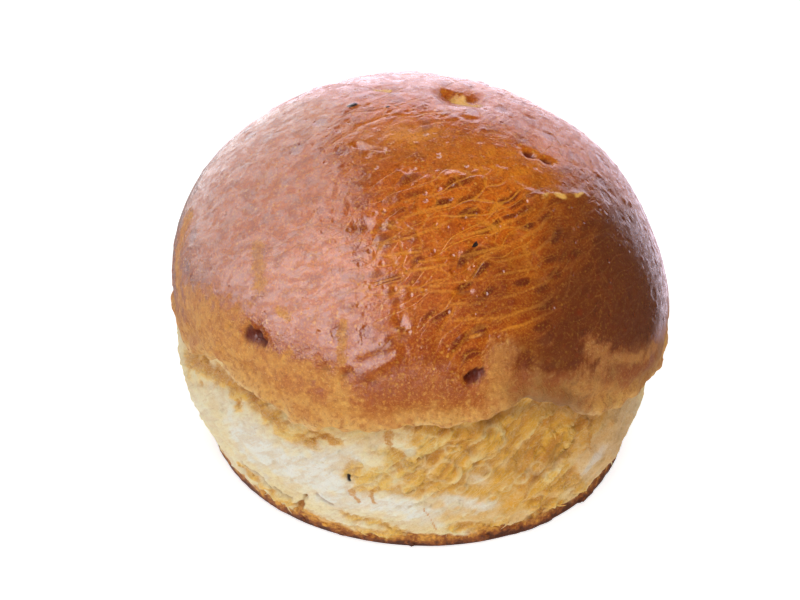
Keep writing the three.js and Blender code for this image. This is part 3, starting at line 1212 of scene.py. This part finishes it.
def markCrumb(piece, points, shown):
    bearing = np.arctan2(points[:, 1], points[:, 0])
    rise = points[:, 2] - edgeHeight(bearing)
    seen = smooth(-np.sin(bearing), -0.1, 0.15)
    hidden = 1 - seen
    rimTop = crumb["rimHeight"] + ripples(points, crumb["rimWaves"])
    rimTop = rimTop + crumb["rimRise"] * smooth(np.cos(bearing), 0.1, 0.7)
    rim = 1 - smooth(points[:, 2] - rimTop, -0.4, 0.6)
    wobble = ripples(points, crumb["markWobble"])
    foldLift = markShares(points, folds, 0.5 * wobble)[1]
    crack, crackLift = markShares(points, cracks, 1.3 * wobble)
    bubble, bubbleLift = bubbleShares(points)

    # What shows in the photo follows it, and the rest follows a rule.
    fields = {name: nearMarks(points, marks, wobble) * seen for name, marks in crumbMarks.items()}
    tones = ripples(points, crumb["hiddenTones"])
    stains = ripples(points, crumb["hiddenStains"]) + 0.4 * tones
    high = smooth(rise, -14.0, -2.0)
    fields["gold"] += hidden * 0.8 * smooth(tones + 0.8 * high, 0.0, 1.3)
    fields["stain"] += hidden * high * smooth(stains, 0.8, 1.6)
    fields["white"] += hidden * 0.4 * smooth(-tones - 0.5 * high, 0.0, 1.2)
    start, full, still, end = (math.radians(a) for a in crumb["strandy"])
    strandy = smooth(bearing, start, full) * (1 - smooth(bearing, still, end))
    strandy = np.maximum(strandy, hidden * smooth(ripples(points, crumb["hiddenStrands"]), -0.2, 0.5))
    pullLong = crumb["puffRound"] + (crumb["puffLong"] - crumb["puffRound"]) * strandy

    for name in ("toasted", "warm"):
        fields[name] = placeShares(points, crumb[name])
    fields.update(rise=rise, shown=shown, rim=rim, crack=crack, bubble=bubble)
    fields["spot"] = nearMarks(points, blackSpots, 0.3 * wobble)
    fields["fibre"] = stretched(points, crumb["fibreShort"], crumb["fibreLong"])
    fields["pull"] = stretched(points, crumb["puffShort"], pullLong)
    store(piece.data, fields)
    chipped = rim * smooth(points[:, 2], 0.2, 1.0) * (0.15 + 0.85 * smooth(np.cos(bearing), 0.1, 0.6))
    lift = (foldLift + crackLift + bubbleLift) * (1 - 0.5 * rim) + rimChips(bearing) * chipped
    pushOut(piece.data, points, lift * shown)


crumbRelief = {
    "puffHeight": 1.9,
    "lumpHeight": 0.9,
    "holeDepth": 0.5,
    "rimChip": 0.7,
    "pullWarp": 1.6,
}


def crumbReliefTree(material):
    start, size = startTree("crumbRelief", crumbRelief)
    inMm = placeInMm(start)
    shown = start.named("shown")
    rim = start.named("rim")
    gold = start.named("gold")
    side = shown * (1 - rim)
    calm = 1 - start.named("white") * 0.6

    # Pillows of stretched dough that press against each other, thin folds over them, and fine feathering.
    pull = start.named("pull", "FLOAT_VECTOR")
    warp = start.add("ShaderNodeTexNoise", {}, {"Vector": inMm, "Scale": 0.2, "Detail": 3.0}, "Color")
    warp = start.vector("SCALE", {0: warp, "Scale": size["pullWarp"]})
    pull = start.vector("ADD", {0: warp, 1: pull})
    pillow = start.cells(pull, 1.0).step(0.8, 0.05)
    fold = start.math("ABSOLUTE", start.noise(pull, 1.5, 2.0, 0.5) - 0.5).step(0.09, 0.0)
    feather = start.noise(start.named("fibre", "FLOAT_VECTOR"), 1.5, 3.0, 0.6) - 0.5
    swell = pillow * 0.6 + fold * 0.3 + feather * 0.5

    lump = start.noise(inMm, 0.16, 3.0, 0.6) - 0.5
    hole = start.cells(inMm, 0.55).step(0.28, 0.1) * start.noise(inMm, 0.25, 1.0).step(0.52, 0.62)
    chip = start.noise(inMm, 0.3, 3.0, 0.6) - 0.45
    lift = (swell - 0.4) * (0.35 + gold * 0.65) * calm * size["puffHeight"] + lump * size["lumpHeight"]
    lift = side * (lift - hole * size["holeDepth"]) + shown * rim * chip * size["rimChip"]
    kept = keepField(size["Geometry"], "swell", swell - hole * 0.5)
    endTree(liftAlong(kept, lift * inMm.axis(2).step(0.1, 1.0)), material)
    return start.tree


crumbFinish = {
    "rough": 0.7,
    "bump": 0.8,
    "inside": (0.12, (1.0, 0.65, 0.35), 0.0015),  # light under the surface: share, radii and scale
    "noises": {  # scale to the mm, detail and roughness
        "broad": (0.09, 3.0, 0.55),
        "patch": (0.3, 3.0, 0.6),
        "small": (1.1, 3.0, 0.6),
        "grain": (3.0, 3.0, 0.65),
    },
    "strands": (1.5, 4.0, 0.6),  # the same, for the pull of the dough and its torn films
    "membranes": (2.4, 3.0, 0.6),
    "fray": (0.7, 0.4),  # how much patch and small fray the outlines of marks
    "dough": ((249, 240, 202), (246, 228, 170)),
    "foot": [
        (0.2, (100, 50, 20)),
        (0.45, (168, 92, 24)),
        (0.75, (236, 172, 62)),
    ],
    "spot": (30, 24, 20),
}
crumbLayers = {  # laid over the dough, from the lowest up: strength and colour
    "white": (1.0, (243, 243, 227)),
    "golden": (1.0, (250, 202, 88)),
    "warm": (1.0, (238, 176, 40)),
    "goldAndShadeUnderCrust": (0.75, (226, 160, 30)),
    # painted highlight on the raised dough, and painted shade in its creases
    "proudHighlight": (0.5, (248, 224, 150)),
    "crease": (1.0, (204, 134, 42)),
    "thinSkin": (1.0, (254, 238, 180)),
    "dusk": (0.6, (168, 112, 46)),
    # darker tan, painted shade at the right front
    "toasted": (0.8, (204, 154, 100)),
    "strand": (0.3, (226, 196, 128)),
    "whiteCreaseShade": (0.25, (232, 214, 160)),
    # stains, and painted shadow along the folds
    "stain": (0.8, (214, 146, 36)),
    "lightGrain": (1.5, (252, 246, 222)),
    "darkGrain": (1.4, (208, 156, 82)),
    # painted shade in the cracks and in the gap under the lifted crust corner
    "crack": (0.5, (150, 88, 40)),
}


def crumbPattern(start):  # mottling of the dough, share of each colour, crispness of the foot, bump's height
    inMm = objectInMm(start)
    broad, patch, small, grain = mottle(start, inMm, crumbFinish["noises"])
    strand = start.noise(start.reads("fibre", "Vector"), *crumbFinish["strands"])
    torn = start.noise(start.reads("pull", "Vector"), *crumbFinish["membranes"]) - 0.5
    membrane = start.math("ABSOLUTE", torn).step(0.03, 0.0)
    membrane = membrane * patch.step(0.42, 0.58) * (1 - start.reads("rim"))
    swell = start.reads("swell") + (small - 0.5) * 0.3
    deep = swell.step(0.5, 0.05)
    fray = ragged((patch, small), crumbFinish["fray"])
    gold = (start.reads("gold") + fray).step(0.05, 0.95)
    white = (start.reads("white") + fray * 0.4).step(0.0, 0.9)
    warm = start.reads("warm") * (0.6 + patch.step(0.35, 0.6) * 0.4) * (1 - white * 0.8)
    # near the crust: more gold, and a darker gold as painted shade under its lip
    under = (start.reads("rise") + (patch - 0.5) * 5).step(-7.0, -0.4)

    # Painted highlight: pale where it stands proud. Painted shade: golden brown deep in the creases and
    # holes.
    shares = {
        "white": white,
        "golden": gold.most(under * 0.5),
        "warm": warm,
        "goldAndShadeUnderCrust": under * gold,
        "proudHighlight": swell.step(0.5, 0.95) * (1 - white),
        "crease": deep * (0.18 + gold * 0.5),
        "thinSkin": (start.reads("bubble") * 0.5).most(membrane * 0.35),
        "dusk": start.reads("dusk"),
        "toasted": start.reads("toasted"),
        "strand": strand.step(0.5, 0.3),
        "whiteCreaseShade": deep * white,
        "stain": (start.reads("stain") + fray + (small - 0.5) * 1.2).step(0.4, 0.95),
        "lightGrain": (grain - 0.5) * (1 - warm * 0.6),
        "darkGrain": 0.46 - grain,
        "crack": start.reads("crack"),
    }
    crisp = patch * 0.9 + small * 0.8 + inMm.axis(2).step(0.2, 3.4) * 0.45
    # darker toward +X: painted shade on the side away from the key lamp
    crisp = crisp - inMm.axis(0).step(8.0, 38.0) * 0.2 - 0.66
    height = ragged((strand, small, grain), (0.3 + gold * 0.3, 0.6, 0.45)) + membrane * 0.08
    return broad.step(0.35, 0.65), shares, crisp, height


def crumbMaterial():
    material, start = newMaterial("crumb")
    mottled, shares, crisp, height = crumbPattern(start)
    color = mottled.mix(*(paint(*tone) for tone in crumbFinish["dough"]))
    color = layered(color, shares, crumbLayers)
    color = start.reads("rim").mix(color, ramp(crisp, crumbFinish["foot"]))
    color = start.reads("spot").step(0.3, 0.7).mix(color, paint(*crumbFinish["spot"]))
    bump = bumped(height, crumbFinish["bump"])
    endMaterial(surface(color, bump, crumbFinish["rough"], crumbFinish["inside"]))
    return material


# Shreds: thin bent strands that hang from the torn side, most of them over the foot and under the crust.
shreds = {
    "perSquareMetre": 110000.0,
    "shortest": 0.8,
    "longest": 2.8,
    "girth": 0.12,  # of a strand's foot, as a share of its length
    "tip": 0.01,
    "droop": 0.35,
    "standOff": 0.12,  # how far they lean out of the side
    "shredSeed": 5,
}

# Flakes: dark chips of the baked foot.
flakes = {
    "perSquareMetre": 200000.0,
    "shortest": 0.5,
    "longest": 1.5,
    "flakeSeed": 9,
}


def scattered(start, base, density, seed):  # points on a surface, with the direction straight out of it
    points = start.add("GeometryNodeDistributePointsOnFaces", {"distribute_method": "RANDOM"}, {
        "Mesh": base, "Density": density, "Seed": seed,
    })
    return points, Wire(start.tree, points.socket.node.outputs["Normal"])


def planted(points, shape, up, aside, scale):  # a copy of a shape on each point, turned by two directions
    axes = {"primary_axis": "Z", "secondary_axis": "X"}
    turn = points.add("FunctionNodeAxesToRotation", axes, {"Primary Axis": up, "Secondary Axis": aside})
    return points.add("GeometryNodeInstanceOnPoints", {}, {
        "Points": points, "Instance": shape, "Rotation": turn, "Scale": scale,
    })


def shredTree(material):
    start, size = startTree("crumbShreds", shreds)
    inMm = placeInMm(start)
    height = inMm.axis(2)
    fringe = height.step(6.5, 3.5) * height.step(1.5, 2.8)
    rise = start.named("rise")
    under = rise.step(-5.0, -2.0) * rise.step(0.0, -0.8)
    likely = fringe + under * 0.4 + start.named("gold") * 0.15
    likely = likely * start.named("shown") * (1 - start.named("rim"))
    points, outward = scattered(start, size["Geometry"], likely * size["perSquareMetre"], size["shredSeed"])
    strand = start.add("GeometryNodeMeshCone", {"fill_type": "TRIANGLE_FAN"}, {
        "Vertices": 6, "Side Segments": 4, "Depth": 1.0,
        "Radius Top": size["tip"], "Radius Bottom": size["girth"],
    })
    along = start.add("GeometryNodeInputPosition").axis(2)
    sag = start.add("ShaderNodeCombineXYZ", {}, {0: along * along * size["droop"]})
    bent = start.add("GeometryNodeSetPosition", {}, {"Geometry": strand, "Offset": sag})
    loose = chance(start, (-1.0, -1.0, -1.3), (1.0, 1.0, 0.5), 1)  # most hang down
    lifted = start.vector("SCALE", {0: outward, "Scale": size["standOff"]})
    way = start.vector("ADD", {0: lifted, 1: loose})
    inward = start.vector("SCALE", {0: outward, "Scale": -1.0})
    long = chance(start, size["shortest"] * mm, size["longest"] * mm, 2)
    endTree(planted(points, bent, way, inward, long), material)
    return start.tree


def flakeTree(material):
    start, size = startTree("rimFlakes", flakes)
    inMm = placeInMm(start)
    height = inMm.axis(2)
    likely = start.named("rim") * start.named("shown") * height.step(0.9, 1.6)
    likely = likely * start.noise(inMm, 0.2, 1.0).step(0.35, 0.65)
    points, outward = scattered(start, size["Geometry"], likely * size["perSquareMetre"], size["flakeSeed"])
    chip = start.add("GeometryNodeMeshIcoSphere", {}, {"Radius": 1.0, "Subdivisions": 1})
    tilt = chance(start, (-0.5, -0.5, -0.5), (0.5, 0.5, 0.5), 1)
    way = start.vector("ADD", {0: outward, 1: tilt})
    aside = chance(start, (-1.0, -1.0, -0.4), (1.0, 1.0, 0.4), 2)
    long = chance(start, size["shortest"] * mm, size["longest"] * mm, 3)
    shape = chance(start, (0.8, 0.4, 0.15), (1.0, 0.8, 0.3), 4)  # length, width and thickness
    scale = start.vector("SCALE", {0: shape, "Scale": long})
    endTree(planted(points, chip, way, aside, scale), material)
    return start.tree


def scatterOver(name, base, makeTree, sizes):
    piece = bpy.data.objects.new(name, base.data.copy())
    piece.data.name = name
    bpy.context.scene.collection.objects.link(piece)
    runTree(piece, makeTree(base.data.materials[0]), sizes)
    return piece


crustPiece, crustPoints, outerSkin = crustMesh()
markCrust(crustPiece, crustPoints, outerSkin)
runTree(crustPiece, crustReliefTree(crustMaterial()), crustRelief)
crumbPiece, crumbPoints, shownSide = crumbMesh()
markCrumb(crumbPiece, crumbPoints, shownSide)
runTree(crumbPiece, crumbReliefTree(crumbMaterial()), crumbRelief)
shredPiece = scatterOver("crumbShreds", crumbPiece, shredTree, shreds)
flakePiece = scatterOver("rimFlakes", crumbPiece, flakeTree, flakes)
for piece in (crustPiece, crumbPiece, shredPiece, flakePiece):
    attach(piece, "root")
for piece in (crustPiece, crumbPiece):
    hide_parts("bun")

studio = {
    "floorSize": 8.0,
    "floorColor": (0.8, 0.8, 0.8),
    "floorRough": 0.9,
    "floorGlow": 0.65,  # a light table, so shadows stay faint
    "ambient": 0.05,
    "distance": 0.7,
    "rosy": (1.0, 0.94, 0.97),
    "lilac": (1.0, 0.83, 0.97),
    "walls": {  # upright panels that only gleam: bearings, lowest and highest angle, brightness, tint
        "left": (-187, -110, 3, 71, 3.5, "rosy"),
        "leftFront": (-110, -101, 8, 36, 2.6, "rosy"),
        "farLeft": (-226, -187, -8, 69, 2.3, "rosy"),
        "leftLow": (-226, -187, -45, -8, 1.0, "rosy"),
        "backLeft": (-240, -226, -20, 59, 2.3, "rosy"),
        "farBackLeft": (-256, -240, -20, 41, 2.3, "rosy"),
        "backLeftLow": (-256, -226, -50, -20, 0.4, "rosy"),
        "back": (-283, -256, -50, 36, 2.5, "lilac"),
        "backRight": (-309, -283, -50, 32, 1.65, "lilac"),
    },
    "lamps": {  # soft boxes that only light the body: bearing, elevation, half width in degrees, brightness
        "key": (-88, 57, 30, 2.1),
        "fill": (85, 45, 30, 0.8),
        "side": (-160, -4, 22, 0.5),
    },
}


def hangPanel(name, place, way, size, brightness, tint):
    lamp = bpy.data.lights.new(name, "AREA")
    lamp.shape = "RECTANGLE"
    lamp.size, lamp.size_y = size
    lamp.energy = brightness * math.pi * size[0] * size[1]
    lamp.color = studio[tint]
    panel = bpy.data.objects.new(name, lamp)
    panel.location = place
    panel.rotation_euler = (-way).to_track_quat("-Z", "Y").to_euler()
    panel.visible_camera = False
    bpy.context.scene.collection.objects.link(panel)
    return panel


def makeWorld():
    scene = bpy.context.scene
    scene.view_settings.view_transform = "Standard"
    world = bpy.data.worlds.new("studio")
    world.use_nodes = True
    back = world.node_tree.nodes["Background"]
    back.inputs["Color"].default_value = (1, 1, 1, 1)
    back.inputs["Strength"].default_value = studio["ambient"]
    scene.world = world


def makeFloor():
    half = studio["floorSize"] / 2
    corners = [(-half, -half, 0), (half, -half, 0), (half, half, 0), (-half, half, 0)]
    sheet = bpy.data.meshes.new("floor")
    sheet.from_pydata(corners, [], [(0, 1, 2, 3)])
    floor = bpy.data.objects.new("floor", sheet)
    bpy.context.scene.collection.objects.link(floor)
    paper = bpy.data.materials.new("floor")
    paper.use_nodes = True
    shader = paper.node_tree.nodes["Principled BSDF"]
    shader.inputs["Base Color"].default_value = (*studio["floorColor"], 1)
    shader.inputs["Roughness"].default_value = studio["floorRough"]
    shader.inputs["Emission Color"].default_value = (1, 1, 1, 1)
    shader.inputs["Emission Strength"].default_value = studio["floorGlow"]
    sheet.materials.append(paper)
    floor.visible_glossy = False  # the underside has no sheen
    floor.visible_shadow = False


def hangLights():
    far = studio["distance"]
    middle = Vector(crust["heart"]) * mm
    for name, (start, end, low, high, brightness, tint) in studio["walls"].items():
        foot, head = (far * math.tan(math.radians(a)) for a in (low, high))
        width = 2 * far * math.tan(math.radians((end - start) / 2))
        bearing = math.radians((start + end) / 2)
        way = Vector((math.cos(bearing), math.sin(bearing), 0))
        place = middle + way * far + Vector((0, 0, (foot + head) / 2))
        wall = hangPanel(name, place, way, (width, head - foot), brightness, tint)
        wall.visible_diffuse = False
    for name, (bearing, elevation, half, brightness) in studio["lamps"].items():
        b, e = math.radians(bearing), math.radians(elevation)
        way = Vector((math.cos(e) * math.cos(b), math.cos(e) * math.sin(b), math.sin(e)))
        side = 2 * far * math.tan(math.radians(half))
        lamp = hangPanel(name, middle + way * far, way, (side, side), brightness, "rosy")
        lamp.visible_glossy = False


makeWorld()
makeFloor()
hangLights()
print("studio lit")
